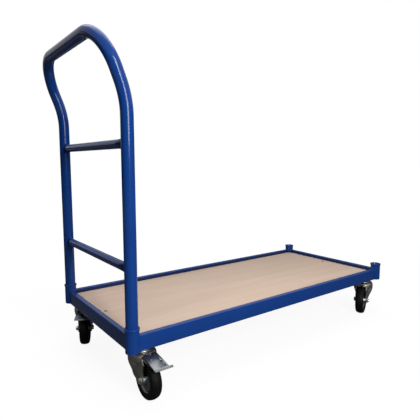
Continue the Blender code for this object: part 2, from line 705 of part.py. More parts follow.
def add_castors():
    fork, race, kingpin = fork_mesh(), race_mesh(), kingpin_mesh()
    tyre, rim, bush = tyre_mesh(), rim_mesh(), bush_mesh()
    bolt, nut, pedal = axle_bolt_mesh(), axle_nut_mesh(), pedal_mesh()
    for corner, (sign_x, sign_y) in CORNERS.items():
        fixed = (sign_x * CASTOR_X, sign_y * CASTOR_Y, RAIL_BOTTOM)
        add_object(corner + "_swivel_race", race, "zinc_steel", fixed)
        add_object(corner + "_kingpin", kingpin, "zinc_steel", fixed)
        swivel = bpy.data.objects.new(corner + "_swivel", None)
        parts.objects.link(swivel)
        swivel.location = fixed
        swivel.rotation_euler = (0, 0, math.radians(HEADINGS_DEG[corner]))
        axle = (CASTOR_TRAIL, 0, AXLE_Z)
        add_object(corner + "_fork", fork, "zinc_steel", parent=swivel)
        add_object(corner + "_tyre", tyre, "black_rubber", axle, swivel)
        add_object(corner + "_rim", rim, "rim_steel", axle, swivel)
        add_object(corner + "_hub_bush", bush, "black_plastic", axle, swivel)
        add_object(corner + "_axle_bolt", bolt, "zinc_steel", axle, swivel)
        add_object(corner + "_axle_nut", nut, "zinc_steel", axle, swivel)
        if sign_x < 0:
            pivot = (PEDAL_PIVOT_X, 0, -PEDAL_PIVOT_DROP)
            add_object(corner + "_brake_pedal", pedal, "zinc_steel", pivot, swivel)


def build():
    start_scene()
    mix_paints()
    add_rails()
    add_sockets()
    add_deck()
    add_deck_supports()
    add_gussets()
    add_handle()
    add_leg_plugs()
    add_rungs()
    add_castors()


build()
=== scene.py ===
"""Looks of the platform cart: smooth paint, board, pressed castors and a plain studio.

Metres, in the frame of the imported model: the origin is the middle of the deck's top face, +X runs
from the handle end to the free end, and +Y to the far side.
"""
import math

import bpy
from mathutils import Matrix, Vector


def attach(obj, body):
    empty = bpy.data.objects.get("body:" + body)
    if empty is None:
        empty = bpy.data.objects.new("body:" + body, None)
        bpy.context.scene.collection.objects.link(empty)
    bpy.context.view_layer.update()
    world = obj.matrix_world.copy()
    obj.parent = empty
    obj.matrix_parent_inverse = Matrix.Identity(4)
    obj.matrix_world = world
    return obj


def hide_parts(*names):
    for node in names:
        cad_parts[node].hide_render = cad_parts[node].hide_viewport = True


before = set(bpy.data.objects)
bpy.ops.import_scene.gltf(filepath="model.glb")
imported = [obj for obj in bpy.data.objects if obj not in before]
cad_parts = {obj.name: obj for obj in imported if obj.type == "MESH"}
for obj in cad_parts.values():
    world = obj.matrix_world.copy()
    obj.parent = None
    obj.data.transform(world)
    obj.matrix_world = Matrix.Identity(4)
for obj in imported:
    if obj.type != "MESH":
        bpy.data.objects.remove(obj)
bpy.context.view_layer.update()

# Frame and sockets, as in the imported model
HALF_LENGTH = 0.520
HALF_WIDTH = 0.2275
RAIL_WIDTH = 0.015
RAIL_TOP = 0.012
RAIL_BOTTOM = -0.028
RAIL_EDGE = 0.0022
INNER_X = HALF_LENGTH - RAIL_WIDTH
INNER_Y = HALF_WIDTH - RAIL_WIDTH
POST_X = 0.5115
POST_Y = 0.2190
SOCKET_BORE = 0.0155
SOCKET_RADIUS = 0.0170
COLLAR_RADIUS = 0.0186
SOCKET_TOP = 0.032
COLLAR_HEIGHT = 0.006
SOCKET_FLOOR = RAIL_BOTTOM + 0.003
DRAIN_RADIUS = 0.004
SHEET_EDGE = 0.0006
PLATE_EDGE = 0.0005

# Fits: what is sunk into its neighbour, and how far a cutting tool runs past what it cuts
OVERLAP = 0.0001
TOOL_SPARE = 0.04

# Weld beads
UPRIGHT_BEAD = 0.0019
TOP_BEAD = 0.0018
RUNG_BEAD = 0.0017
BEAD_THIN = 0.80
BEAD_END = 0.5

# Deck
DECK_THICKNESS = 0.012
DECK_GAP = 0.0008
DECK_EDGE = 0.0006
SCREW_X = 0.4835
SCREW_Y = 0.005
SCREW_RADIUS = 0.0048
SCREW_SLOT_ARM = 0.0026
SCREW_SLOT_HALF = 0.00055
SCREW_SLOT_DEPTH = 0.0016

# Push handle
TUBE = 0.015
LEG_FOOT = RAIL_BOTTOM + 0.0061
PLUG_BORE = 0.0125
PLUG_DEPTH = 0.0253
BEND_Z = RAIL_BOTTOM + 0.547
BEND_RADIUS = 0.215
TILT = math.radians(20.75)
TILT_RUN = 0.0235
CORNER_RADIUS = 0.096
RUNG_RADIUS = 0.011
RUNG_Z = {"lower_rung": RAIL_BOTTOM + 0.200, "upper_rung": RAIL_BOTTOM + 0.487}
RUNG_FLAT = 0.030
RUNG_END_HALF_HEIGHT = 0.014
RUNG_END_HALF_THICKNESS = 0.007
RUNG_END_DEPTH = 0.003

# Castors
CASTOR_X = 0.474
CASTOR_Y = 0.194
TRAIL = 0.031
AXLE_Z = -0.074
WHEEL_RADIUS = 0.050
TYRE_HALF = 0.0135
TYRE_SEAT = 0.037
FORK_TOP = -0.0096
FORK_HEAD = 0.040
FORK_HEAD_SIDE = 0.0345
FORK_LEG = 0.020
FORK_SHEET = 0.0025
FORK_BOSS = 0.012
FORK_FLANK = 0.010
FORK_EDGE = 0.0006
HOOD_START = 0.0095
HOOD_SHOULDER = 0.0165
HOOD_END = 0.082
HOOD_FRONT = 0.060
RACE_RADIUS = 0.0270
RACE_NECK = 0.0212
LOWER_RACE_RADIUS = 0.0249
RACE_BORE = 0.0065
KINGPIN_RADIUS = 0.0060
KINGPIN_HEX = 0.0105
KINGPIN_HEAD = 0.0075
KINGPIN_NUT = 0.0060
AXLE_RADIUS = 0.004
AXLE_SEAT = FORK_LEG + 0.0003
NUT_RADIUS = 0.0075
NUT_HEIGHT = 0.0052
NUT_COLLAR_RADIUS = 0.0058
NUT_COLLAR_HEIGHT = 0.0065
BOLT_HEAD = 0.0047
BOLT_END = 0.0080
WASHER = 0.0008
HUB_HALF = 0.0172
RIVET_CIRCLE = 0.0205
RIVETS = 5
PIVOT_X = 0.022
PIVOT_Z = -0.0205
HEADINGS_DEG = {"handle_near": -91.0, "handle_far": -116.0, "free_near": -157.0, "free_far": -163.0}
CORNERS = {"handle_near": (-1, -1), "handle_far": (-1, 1), "free_near": (1, -1), "free_far": (1, 1)}

# Brake pedals, measured from the swivel's axis
PEDAL_FROM = 0.039
PEDAL_TO = 0.108
PEDAL_TOP = -0.0080
PEDAL_DROP = 0.0090
PEDAL_HALF = 0.0172
PLATE_LEFT = 0.0175
PLATE_FLARE = 0.0045
PLATE_RIGHT = 0.0174
PEDAL_SHEET = 0.0022
PEDAL_SKIRT = 0.028
PEDAL_BEND = 0.0035
PEDAL_EYE = 0.0062
PEDAL_PIN = 0.0028
PEDAL_PIN_HALF = 0.0220
PEDAL_HOLE = (0.0775, 0.0105)
PEDAL_HOLE_RADIUS = 0.0021
PEDAL_SLOT = ((0.0910, 0.0098), (0.0985, 0.0128))
PEDAL_RIVET = (0.0655, -0.0092)
TREAD_RIGHT = 0.026
TREAD_LENGTH = 0.0025
TREAD_SET_BACK = 0.004

# Studio
FLOOR_Z = RAIL_BOTTOM + AXLE_Z - WHEEL_RADIUS
FLOOR_SIZE = 60
WORLD_LIGHT = 0.15
CAMERA_PLACE = (-0.914284, -1.059619, 0.415879)
CAMERA_YAW_DEG = 36.915
CAMERA_PITCH_DEG = -6.627
CAMERA_ROLL_DEG = -0.055
CAMERA_LENS_MM = 34.88
CAMERA_SENSOR_MM = 36.0
WALL_RADIUS = 5.0
WALL_SIDES = 72
OPENING_DEG = (78, 125)


# Shader building

class Socket:
    """An output socket. A sum or product with it adds a Math node to its tree."""

    def __init__(self, nodes, output):
        self.nodes = nodes
        self.output = output

    def __add__(self, other):
        return self.nodes.maths("ADD", self, other)

    def __radd__(self, other):
        return self.nodes.maths("ADD", other, self)

    def __mul__(self, other):
        return self.nodes.maths("MULTIPLY", self, other)

    def __rmul__(self, other):
        return self.nodes.maths("MULTIPLY", other, self)

    def beside(self, name):
        """Another output of the node that this one belongs to."""
        return Socket(self.nodes, self.output.node.outputs[name])


class Nodes:
    """A node tree, of a material or the world, and the steps that add to it."""

    def __init__(self, tree):
        self.tree = tree

    def node(self, kind, settings=None, values=None, output=0):
        """Add a node, with its settings first and then its sockets' values or links."""
        made = self.tree.nodes.new(kind)
        for name, value in (settings or {}).items():
            setattr(made, name, value)
        for name, value in (values or {}).items():
            self.feed(made.inputs[name], value)
        return Socket(self, made.outputs[output])

    def feed(self, socket, value):
        if isinstance(value, Socket):
            self.tree.links.new(value.output, socket)
        else:
            socket.default_value = value

    def maths(self, operation, *values):
        return self.node("ShaderNodeMath", {"operation": operation}, dict(enumerate(values)))

    def place(self, stretch=(1, 1, 1)):
        """Object coordinates in metres, stretched."""
        coordinates = self.node("ShaderNodeTexCoord", output="Object")
        return self.node("ShaderNodeMapping", None, {"Vector": coordinates, "Scale": stretch})

    def noise(self, scale, detail=2.0, stretch=(1, 1, 1), roughness=0.5, distortion=0.0):
        """Noise from 0 to 1, with about as many patches to the metre as its scale says."""
        return self.node("ShaderNodeTexNoise", None,
                         {"Vector": self.place(stretch), "Scale": scale, "Detail": detail,
                          "Roughness": roughness, "Distortion": distortion})

    def steps(self, value, low, high, to_low=0.0, to_high=1.0):
        """A value carried smoothly from one range to another and held outside it."""
        return self.node("ShaderNodeMapRange", {"interpolation_type": "SMOOTHSTEP"},
                         {"Value": value, "From Min": low, "From Max": high, "To Min": to_low,
                          "To Max": to_high})

    def mix(self, share, first, second):
        """A colour between two colours."""
        return self.node("ShaderNodeMix", {"data_type": "RGBA"}, {0: share, 6: first, 7: second},
                         output=2)


class Finish(Nodes):
    """A material with its slot's name and the shader that its nodes feed."""

    def __init__(self, name, slot, **shader_values):
        self.slot = slot
        self.material = bpy.data.materials.new(name)
        self.material.use_nodes = True
        super().__init__(self.material.node_tree)
        self.shader = self.tree.nodes["Principled BSDF"]
        self.set(**shader_values)

    def set(self, **values):
        """Set or link the shader's sockets; base_color stands for Base Color."""
        for name, value in values.items():
            self.feed(self.shader.inputs[name.replace("_", " ").title().replace("Ior", "IOR")], value)

    def bump(self, height, distance, strength=1.0):
        normal = self.node("ShaderNodeBump", None,
                           {"Height": height, "Distance": distance, "Strength": strength})
        self.set(normal=normal)


def colour(red, green, blue):
    return (red, green, blue, 1.0)


def corner_painted_shade(paint):
    """1 on the rails' inner faces just above the deck, where painted shade darkens the paint, else 0."""
    along = paint.node("ShaderNodeSeparateXYZ", None, {"Vector": paint.place()}, "X")
    across, height = along.beside("Y"), along.beside("Z")
    # Painted shade fades in from 1.6 mm off the inner face and is full within 0.6 mm of it
    unshaded, shaded = 0.0016, 0.0006
    inside = (paint.steps(paint.maths("ABSOLUTE", across), INNER_Y + unshaded, INNER_Y + shaded)
              * paint.steps(paint.maths("ABSOLUTE", along), INNER_X + unshaded, INNER_X + shaded))
    above_deck = paint.steps(height, -0.003, -0.001)
    below_edge = paint.steps(height, RAIL_TOP - 0.0008, RAIL_TOP - 0.0030)
    return inside * above_deck * below_edge


def blue_paint():
    """Powder coat: deep blue, glossy, with a fine orange peel, a few dull scuffs and painted shade on the
    rails' inner faces by the deck.
    """
    paint = Finish("powder_blue", "blue_paint", ior=1.5, specular_ior_level=0.25)
    cloudy = paint.noise(14, 3)
    scuffs = paint.noise(55, 6, (1, 1, 0.35), 0.65)
    dull = paint.steps(scuffs, 0.62, 0.74)
    body = paint.mix(cloudy, colour(0.0055, 0.043, 0.225), colour(0.0080, 0.055, 0.270))
    # Painted shade: the rails' inner faces just above the deck are darkened to a near-black blue
    body = paint.mix(corner_painted_shade(paint) * 0.85, body, colour(0.0030, 0.010, 0.045))
    paint.set(base_color=paint.mix(dull * 0.30, body, colour(0.020, 0.062, 0.250)))
    paint.set(roughness=0.15 + dull * 0.16 + cloudy * 0.04)
    peel = paint.noise(520, 2) + paint.noise(140, 1) * 0.8
    paint.bump(peel, 0.00010, 0.22)
    return paint


def beech_board():
    """Varnished beech plywood: pinkish beige, long soft grain and short dark flecks."""
    board = Finish("beech_board", "beech_board", ior=1.45)
    bands = board.noise(3.0, 4, (0.55, 9.0, 4.0), 0.55, 0.4)
    fibres = board.noise(16.0, 6, (0.9, 26.0, 8.0), 0.6)
    blotch = board.noise(2.4, 2)
    flecks = board.steps(board.noise(90.0, 2, (0.55, 7.0, 4.0), 0.5), 0.655, 0.72)
    wood = board.mix(board.steps(bands, 0.32, 0.68), colour(0.640, 0.480, 0.375),
                     colour(0.700, 0.545, 0.435))
    wood = board.mix(board.steps(fibres, 0.45, 0.75) * 0.25, wood, colour(0.560, 0.395, 0.290))
    wood = board.mix(board.steps(blotch, 0.4, 0.65) * 0.30, wood, colour(0.720, 0.520, 0.420))
    board.set(base_color=board.mix(flecks * 0.35, wood, colour(0.400, 0.255, 0.170)))
    board.set(roughness=0.46 + fibres * 0.16 + flecks * 0.1)
    board.bump(fibres + flecks * -0.6, 0.00015, 0.35)
    return board


def plated_steel(name, slot, dark, light, roughness):
    """Galvanised or pressed sheet: cloudy grey, drawn streaks and small marks."""
    steel = Finish(name, slot, metallic=1.0)
    cloudy = steel.noise(38, 4)
    drawn = steel.noise(9, 5, (6, 6, 40), 0.6)
    marks = steel.steps(steel.noise(170, 3, roughness=0.7), 0.62, 0.70)
    sheet = steel.mix(steel.steps(cloudy, 0.3, 0.7), colour(*dark), colour(*light))
    steel.set(base_color=steel.mix(marks * 0.35, sheet, colour(*[0.45 * part for part in dark])))
    steel.set(roughness=roughness - 0.06 + cloudy * 0.12 + drawn * 0.08)
    steel.bump(drawn + cloudy * 0.6, 0.00008, 0.4)
    return steel


def black_rubber():
    rubber = Finish("tyre_rubber", "black_rubber", ior=1.52, specular_ior_level=0.12)
    grime = rubber.noise(70, 5, roughness=0.65)
    dust = rubber.steps(grime, 0.50, 0.78)
    rubber.set(base_color=rubber.mix(dust, colour(0.0050, 0.0048, 0.0048),
                                     colour(0.013, 0.0125, 0.012)))
    rubber.set(roughness=0.50 + dust * 0.22)
    rubber.bump(rubber.noise(900, 2) + grime, 0.00010, 0.3)
    return rubber


def black_plastic():
    plastic = Finish("moulded_plastic", "black_plastic", ior=1.5)
    grain = plastic.noise(1400, 2)
    plastic.set(base_color=plastic.mix(grain, colour(0.014, 0.014, 0.015), colour(0.022, 0.022, 0.024)))
    plastic.set(roughness=0.42 + grain * 0.2)
    plastic.bump(grain, 0.00005, 0.4)
    return plastic


BLUE = blue_paint()
BEECH = beech_board()
ZINC = plated_steel("zinc_sheet", "zinc_steel", (0.140, 0.148, 0.156), (0.235, 0.243, 0.252), 0.31)
BOLTS = plated_steel("bright_zinc", "zinc_steel", (0.560, 0.570, 0.590), (0.700, 0.710, 0.730), 0.28)
FORKS = plated_steel("fork_steel", "zinc_steel", (0.280, 0.264, 0.241), (0.385, 0.364, 0.334), 0.43)
SCREWS = plated_steel("dark_screw", "zinc_steel", (0.040, 0.038, 0.036), (0.075, 0.070, 0.066), 0.40)
RIMS = plated_steel("rim_sheet", "rim_steel", (0.190, 0.200, 0.210), (0.290, 0.305, 0.315), 0.38)
RUBBER = black_rubber()
PLASTIC = black_plastic()


# Modelling steps

def clear():
    """Object mode with nothing selected."""
    if bpy.context.mode != "OBJECT":
        bpy.ops.object.mode_set(mode="OBJECT")
    bpy.ops.object.select_all(action="DESELECT")


def begin(name, add, **shape):
    """A named primitive, alone and wholly selected, in edit mode."""
    clear()
    add(**shape)
    item = bpy.context.object
    item.name = name
    item.data.name = name
    bpy.ops.object.mode_set(mode="EDIT")
    bpy.ops.mesh.select_mode(type="VERT")
    bpy.ops.mesh.select_all(action="SELECT")
    return item


def pull(x, y, z):
    """Extrude what is selected by a run in metres."""
    bpy.ops.mesh.extrude_region_move(TRANSFORM_OT_translate={"value": (x, y, z)})


def widen(x, y, z, centre=(0, 0, 0)):
    bpy.ops.transform.resize(value=(x, y, z), center_override=centre)


def pick(item, test, kind="VERT"):
    """Select only the vertices, edges or faces whose middle passes a test."""
    bpy.ops.mesh.select_mode(type=kind)
    bpy.ops.mesh.select_all(action="DESELECT")
    bpy.ops.object.mode_set(mode="OBJECT")
    mesh = item.data
    if kind == "VERT":
        for vert in mesh.vertices:
            vert.select = test(vert.co)
    elif kind == "EDGE":
        for edge in mesh.edges:
            first, second = (mesh.vertices[i].co for i in edge.vertices)
            edge.select = test((first + second) / 2, second - first)
    else:
        for face in mesh.polygons:
            face.select = test(face.center, face.normal)
    bpy.ops.object.mode_set(mode="EDIT")


def only(item):
    """Object mode with this object alone selected and active."""
    clear()
    item.select_set(True)
    bpy.context.view_layer.objects.active = item


def modify(item, kind, **settings):
    """Add a modifier, set it and apply it."""
    only(item)
    bpy.ops.object.modifier_add(type=kind)
    modifier = item.modifiers[-1]
    for name, value in settings.items():
        setattr(modifier, name, value)
    bpy.ops.object.modifier_apply(modifier=modifier.name)


def cut(item, tool, operation="DIFFERENCE"):
    """Cut, join or keep what is shared with another solid, which is used up."""
    only(tool)
    modify(item, "BOOLEAN", operation=operation, object=tool, solver="EXACT")
    bpy.data.objects.remove(tool)


def rounded(item, width, segments=2, angle_deg=35):
    """Round off every edge sharper than an angle."""
    modify(item, "BEVEL", width=width, segments=segments, limit_method="ANGLE",
           angle_limit=math.radians(angle_deg), use_clamp_overlap=True)


def outward():
    """In edit mode, merge doubles and turn every face outwards."""
    bpy.ops.mesh.select_all(action="SELECT")
    bpy.ops.mesh.remove_doubles(threshold=0.00001)
    bpy.ops.mesh.normals_make_consistent(inside=False)


def smooth(item, angle_deg=40):
    only(item)
    bpy.ops.object.transform_apply(location=True, rotation=True, scale=True)
    bpy.ops.object.shade_smooth_by_angle(angle=math.radians(angle_deg))
    return item


def turned(name, profile, sides=64, closed=False):
    """A piece turned round Z: a circle extruded through (radius, height) points."""
    radius, height = profile[0]
    item = begin(name, bpy.ops.mesh.primitive_circle_add, vertices=sides, radius=radius)
    bpy.ops.transform.translate(value=(0, 0, height))
    for next_radius, next_height in profile[1:]:
        pull(0, 0, next_height - height)
        widen(next_radius / radius, next_radius / radius, 1)
        radius, height = next_radius, next_height
    bpy.ops.mesh.select_all(action="DESELECT")
    bpy.ops.mesh.select_non_manifold()
    if closed:
        bpy.ops.mesh.bridge_edge_loops()
    else:
        bpy.ops.mesh.fill_holes(sides=0)
    outward()
    return smooth(item)


def bar(name, radius, start, end, sides=32):
    """A round or many sided bar between two points."""
    start, end = Vector(start), Vector(end)
    run = end - start
    turn = Vector((0, 0, 1)).rotation_difference(run.normalized()).to_euler()
    clear()
    bpy.ops.mesh.primitive_cylinder_add(vertices=sides, radius=radius, depth=run.length,
                                        location=(start + end) / 2, rotation=turn)
    item = bpy.context.object
    item.name = name
    only(item)
    bpy.ops.object.transform_apply(location=True, rotation=True, scale=True)
    return item


def slab(name, low, high):
    """A box between two corners."""
    low, high = Vector(low), Vector(high)
    clear()
    bpy.ops.mesh.primitive_cube_add(size=1, location=(low + high) / 2, scale=high - low)
    item = bpy.context.object
    item.name = name
    only(item)
    bpy.ops.object.transform_apply(location=True, rotation=True, scale=True)
    return item


def outline(name, points, half_width):
    """A plate whose edge is drawn point by point in XZ, as thick along Y as twice a half width."""
    item = begin(name, bpy.ops.mesh.primitive_plane_add, size=0.01)
    bpy.ops.mesh.merge(type="CENTER")
    x, z = points[0]
    bpy.ops.transform.translate(value=(x, -half_width, z))
    for next_x, next_z in points[1:]:
        pull(next_x - x, 0, next_z - z)
        x, z = next_x, next_z
    bpy.ops.mesh.select_all(action="SELECT")
    bpy.ops.mesh.edge_face_add()
    pull(0, 2 * half_width, 0)
    outward()
    only(item)
    return item


def joined(name, pieces):
    only(pieces[0])
    for piece in pieces:
        piece.select_set(True)
    bpy.ops.object.join()
    pieces[0].name = name
    return pieces[0]


def arc(centre, radius, start_deg, end_deg, count):
    angles = [math.radians(start_deg + (end_deg - start_deg) * i / count) for i in range(count + 1)]
    return [(centre[0] + radius * math.cos(angle), centre[1] + radius * math.sin(angle))
            for angle in angles]


def fit(item, finish, body, *nodes):
    """Give a finished piece its material, its body and the CAD nodes that it stands for."""
    item.data.materials.clear()
    item.data.materials.append(finish.material)
    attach(item, body)
    if nodes:
        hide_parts(*nodes)


def placed(pattern, name, place):
    """A copy of a finished piece, with its own mesh, put in its place."""
    copy = pattern.copy()
    copy.data = pattern.data.copy()
    copy.name = name
    copy.data.name = name
    bpy.context.collection.objects.link(copy)
    copy.data.transform(place)
    if place.determinant() < 0:
        copy.data.flip_normals()
    return copy


def discard(*patterns):
    for pattern in patterns:
        bpy.data.objects.remove(pattern)


# The frame

def post(sign_x, sign_y, radius):
    x, y = sign_x * POST_X, sign_y * POST_Y
    return bar("cope", radius, (x, y, RAIL_BOTTOM - TOOL_SPARE), (x, y, SOCKET_TOP + TOOL_SPARE), 64)


def make_rail(name, low, high, along, ends):
    """Square tube with rounded long edges, coped to the sockets at its ends."""
    rail = slab(name, low, high)
    bpy.ops.object.mode_set(mode="EDIT")
    pick(rail, lambda middle, run: abs(run[along]) > 0.1, "EDGE")
    bpy.ops.mesh.bevel(offset=RAIL_EDGE, segments=4)
    outward()
    for sign_x, sign_y in ends:
        cut(rail, post(sign_x, sign_y, SOCKET_RADIUS - OVERLAP))
    smooth(rail, 25)
    fit(rail, BLUE, "frame", name)


def make_rails():
    for name, side in (("near_side_rail", -1), ("far_side_rail", 1)):
        edges = sorted((side * INNER_Y, side * HALF_WIDTH))
        make_rail(name, (-POST_X, edges[0], RAIL_BOTTOM), (POST_X, edges[1], RAIL_TOP), 0,
                  ((-1, side), (1, side)))
    for name, end in (("handle_end_rail", -1), ("free_end_rail", 1)):
        edges = sorted((end * INNER_X, end * HALF_LENGTH))
        make_rail(name, (edges[0], -POST_Y, RAIL_BOTTOM), (edges[1], POST_Y, RAIL_TOP), 1,
                  ((end, -1), (end, 1)))


def make_sockets():
    """Tube sockets with a floor, a drain hole and a rounded collar."""
    lip = SOCKET_TOP
    neck = SOCKET_TOP - COLLAR_HEIGHT
    profile = [(DRAIN_RADIUS, RAIL_BOTTOM), (DRAIN_RADIUS, SOCKET_FLOOR), (SOCKET_BORE, SOCKET_FLOOR),
               (SOCKET_BORE, lip - 0.0008), (SOCKET_BORE + 0.0004, lip - 0.0002),
               (SOCKET_BORE + 0.0009, lip), (COLLAR_RADIUS - 0.0012, lip),
               (COLLAR_RADIUS - 0.0005, lip - 0.0003), (COLLAR_RADIUS - 0.0001, lip - 0.0010),
               (COLLAR_RADIUS, lip - 0.0018), (COLLAR_RADIUS, neck + 0.0020),
               (COLLAR_RADIUS - 0.0003, neck + 0.0011), (SOCKET_RADIUS + 0.0004, neck + 0.0003),
               (SOCKET_RADIUS, neck), (SOCKET_RADIUS, RAIL_BOTTOM + 0.0006),
               (SOCKET_RADIUS - 0.0006, RAIL_BOTTOM)]
    socket = turned("socket", profile, 72, closed=True)
    for corner, (sign_x, sign_y) in CORNERS.items():
        piece = placed(socket, corner + "_socket_tube",
                       Matrix.Translation((sign_x * POST_X, sign_y * POST_Y, 0)))
        fit(piece, BLUE, "frame", corner + "_socket")
    discard(socket)


def bead(name, places, radius):
    """A weld bead along a row of places, thick and thin by turns."""
    places = [Vector(place) for place in places]
    run = places[1] - places[0]
    turn = Vector((0, 0, 1)).rotation_difference(run.normalized()).to_euler()
    item = begin(name, bpy.ops.mesh.primitive_circle_add, vertices=8, radius=radius * BEAD_END,
                 location=(0, 0, 0), rotation=turn)
    bpy.ops.transform.translate(value=places[0])
    size = BEAD_END
    for i in range(1, len(places)):
        pull(*(places[i] - places[i - 1]))
        next_size = BEAD_END if i == len(places) - 1 else (1.0, BEAD_THIN)[i % 2]
        share = next_size / size
        widen(share, share, share, places[i])
        size = next_size
    bpy.ops.mesh.select_all(action="DESELECT")
    bpy.ops.mesh.select_non_manifold()
    bpy.ops.mesh.fill_holes(sides=0)
    outward()
    return smooth(item, 60)


def make_corner_welds():
    """Beads round one socket where the rails meet it, mirrored to the other corners."""
    outer_y = HALF_WIDTH - POST_Y
    inner_y = POST_Y - INNER_Y
    ring = SOCKET_RADIUS + 0.0003
    beads = []

    def upright(offset, angle):
        x = ring * math.cos(angle)
        y = ring * math.sin(angle)
        heights = [RAIL_BOTTOM + 0.002 + 0.0018 * i for i in range(21)]
        line = [(offset[0] * x, offset[1] * y, height) for height in heights]
        return bead("bead", line, UPRIGHT_BEAD)

    for along_x in (True, False):
        for depth, side in ((outer_y, 1), (inner_y, -1)):
            angle = math.asin(depth / ring)
            if along_x:
                beads.append(upright((-1, side), angle))
            else:
                beads.append(upright((side, -1), math.pi / 2 - angle))
        spread = math.degrees(math.asin(inner_y / ring)), math.degrees(math.asin(outer_y / ring))
        middle = 180 if along_x else 270
        turn = -1 if along_x else 1
        start = middle - turn * spread[0]
        end = middle + turn * spread[1]
        points = arc((0, 0), ring, start, end, 11)
        beads.append(bead("bead", [(x, y, RAIL_TOP + 0.0002) for x, y in points], TOP_BEAD))
    welds = joined("corner_welds", beads)
    for corner, (sign_x, sign_y) in CORNERS.items():
        place = Matrix.Translation((sign_x * POST_X, sign_y * POST_Y, 0))
        place = place @ Matrix.Diagonal((sign_x, sign_y, 1, 1))
        fit(placed(welds, corner + "_corner_welds", place), BLUE, "frame")
    discard(welds)


def make_deck():
    """The board with eased edges, notched round the sockets."""
    x, y = INNER_X - DECK_GAP, INNER_Y - DECK_GAP
    deck = slab("deck_board", (-x, -y, -DECK_THICKNESS), (x, y, 0))
    for sign_x, sign_y in CORNERS.values():
        cut(deck, post(sign_x, sign_y, SOCKET_RADIUS + DECK_GAP))
    rounded(deck, DECK_EDGE)
    fit(smooth(deck, 30), BEECH, "frame", "deck_panel")


def make_deck_screws():
    """Countersunk screws into the ledges, one in the middle of each end."""
    profile = [(0.0006, 0.0001), (SCREW_RADIUS * 0.6, 0.0003), (SCREW_RADIUS - 0.0004, 0.00015),
               (SCREW_RADIUS, -0.0002), (SCREW_RADIUS * 0.55, -0.003), (0.0006, -0.003)]
    screw = turned("screw", profile, 32)
    for x, y in ((SCREW_SLOT_ARM, SCREW_SLOT_HALF), (SCREW_SLOT_HALF, SCREW_SLOT_ARM)):
        cut(screw, slab("slot", (-x, -y, -SCREW_SLOT_DEPTH), (x, y, 0.002)))
    smooth(screw, 30)
    for name, end in (("handle_end_screw", -1), ("free_end_screw", 1)):
        place = Matrix.Translation((end * SCREW_X, SCREW_Y, 0.0001)) @ Matrix.Rotation(0.5, 4, "Z")
        fit(placed(screw, name, place), SCREWS, "frame")
    discard(screw)


def softened(node, width):
    """A copy of a CAD node with its triangles merged into faces and its edges rounded."""
    piece = placed(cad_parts[node], node + "_sheet", Matrix.Identity(4))
    piece.parent = None
    for key in list(piece.keys()):
        del piece[key]
    only(piece)
    bpy.ops.object.mode_set(mode="EDIT")
    bpy.ops.mesh.select_all(action="SELECT")
    bpy.ops.mesh.remove_doubles(threshold=0.00002)
    bpy.ops.mesh.dissolve_limited(angle_limit=math.radians(1))
    only(piece)
    rounded(piece, width)
    smooth(piece, 30)
    fit(piece, BLUE, "frame", node)


def make_underside():
    for node in ("handle_end_bearer", "middle_bearer", "free_end_bearer", "handle_end_ledge",
                 "free_end_ledge"):
        softened(node, SHEET_EDGE)
    for corner in CORNERS:
        softened(corner + "_corner_plate", PLATE_EDGE)


# The push handle

def make_handle_bow():
    """One tube: up the near leg, back through the tilt, round the corners and down the far leg."""
    bow = begin("handle_tube", bpy.ops.mesh.primitive_circle_add, vertices=48, radius=PLUG_BORE)
    bpy.ops.transform.translate(value=(-POST_X, -POST_Y, LEG_FOOT + PLUG_DEPTH))
    foot = (-POST_X, -POST_Y, LEG_FOOT)
    pull(0, 0, -PLUG_DEPTH)
    pull(0, 0, 0)
    widen(TUBE / PLUG_BORE, TUBE / PLUG_BORE, 1, foot)
    pull(0, 0, BEND_Z - LEG_FOOT)
    lean = Vector((-math.sin(TILT), 0, math.cos(TILT)))
    across = Vector((0, 1, 0))
    bend_centre = Vector((-POST_X - BEND_RADIUS, -POST_Y, BEND_Z))
    top = bend_centre + Vector((BEND_RADIUS * math.cos(TILT), 0, BEND_RADIUS * math.sin(TILT)))
    bpy.ops.mesh.spin(steps=10, angle=TILT, center=bend_centre, axis=(0, 1, 0))
    pull(*(lean * TILT_RUN))
    corner = top + lean * TILT_RUN + across * CORNER_RADIUS
    turn_axis = across.cross(lean)
    bpy.ops.mesh.spin(steps=24, angle=math.pi / 2, center=corner, axis=turn_axis)
    pull(*(across * 2 * (POST_Y - CORNER_RADIUS)))
    far_corner = Vector((corner.x, -corner.y, corner.z))
    bpy.ops.mesh.spin(steps=24, angle=math.pi / 2, center=far_corner, axis=turn_axis)
    pull(*(lean * -TILT_RUN))
    far_bend = Vector((bend_centre.x, -bend_centre.y, bend_centre.z))
    bpy.ops.mesh.spin(steps=10, angle=TILT, center=far_bend, axis=(0, -1, 0))
    far_foot = (-POST_X, POST_Y, LEG_FOOT)
    pull(0, 0, LEG_FOOT - BEND_Z)
    pull(0, 0, 0)
    widen(PLUG_BORE / TUBE, PLUG_BORE / TUBE, 1, far_foot)
    pull(0, 0, PLUG_DEPTH)
    bpy.ops.mesh.select_all(action="DESELECT")
    bpy.ops.mesh.select_non_manifold()
    bpy.ops.mesh.fill_holes(sides=0)
    outward()
    fit(smooth(bow, 50), BLUE, "handle", "handle_bow")


